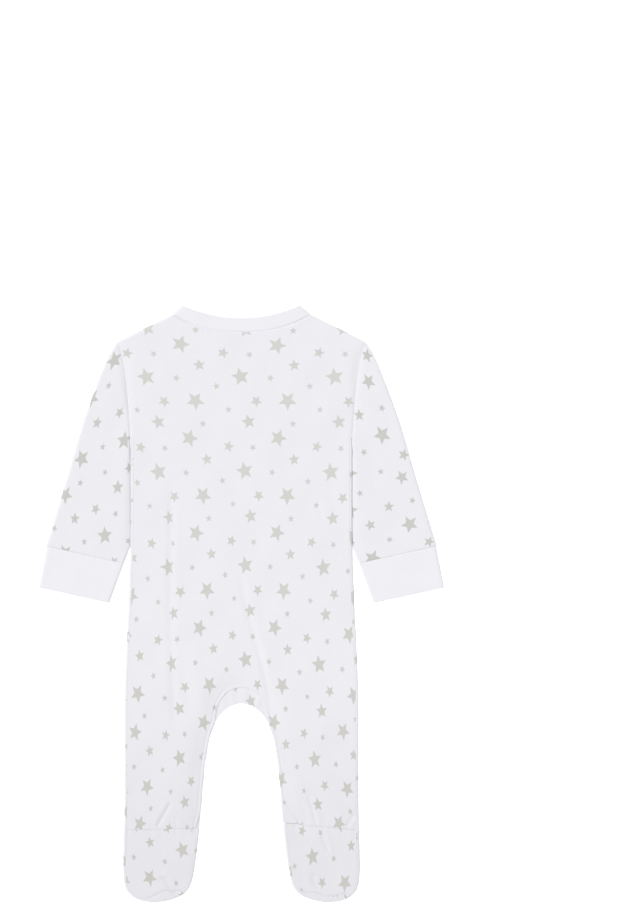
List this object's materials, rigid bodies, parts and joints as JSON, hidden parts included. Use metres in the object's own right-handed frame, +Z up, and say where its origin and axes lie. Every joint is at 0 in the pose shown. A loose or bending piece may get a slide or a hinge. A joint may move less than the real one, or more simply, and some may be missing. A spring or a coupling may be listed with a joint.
{
  "type": "footed baby sleepsuit",
  "caption": "Long-sleeved footed baby sleepsuit of white jersey with a grey star print, laid flat with its back up.",
  "frame": {"origin": "on the surface that the suit lies on, under the middle of its bounding box", "axes": "+Y from the feet to the neck, +Z up out of the back, +X to the wearer's right"},
  "size_m": [0.3852, 0.5669, 0.0063],
  "materials": {
    "star_jersey": "matt jersey with printed stars",
    "plain_rib": "matt doubled jersey",
    "popper_plastic": "satin white"
  },
  "bodies": {
    "root": {"back": "star_jersey", "front_left": "star_jersey", "front_right": "star_jersey", "sole_left": "star_jersey", "sole_right": "star_jersey", "sleeve_left": "star_jersey", "sleeve_right": "star_jersey", "inner_leg_strip": "star_jersey", "placket_over": "star_jersey", "placket_under": "star_jersey", "cuff_left": "plain_rib", "cuff_right": "plain_rib", "neckband": "plain_rib", "popper_front_1": "popper_plastic", "popper_front_2": "popper_plastic", "popper_front_3": "popper_plastic", "popper_front_4": "popper_plastic", "popper_front_5": "popper_plastic", "popper_front_6": "popper_plastic", "popper_leg_left_1": "popper_plastic", "popper_leg_left_2": "popper_plastic", "popper_leg_left_3": "popper_plastic", "popper_leg_left_4": "popper_plastic", "popper_leg_right_1": "popper_plastic", "popper_leg_right_2": "popper_plastic", "popper_leg_right_3": "popper_plastic", "popper_leg_right_4": "popper_plastic"}
  },
  "joints": []
}
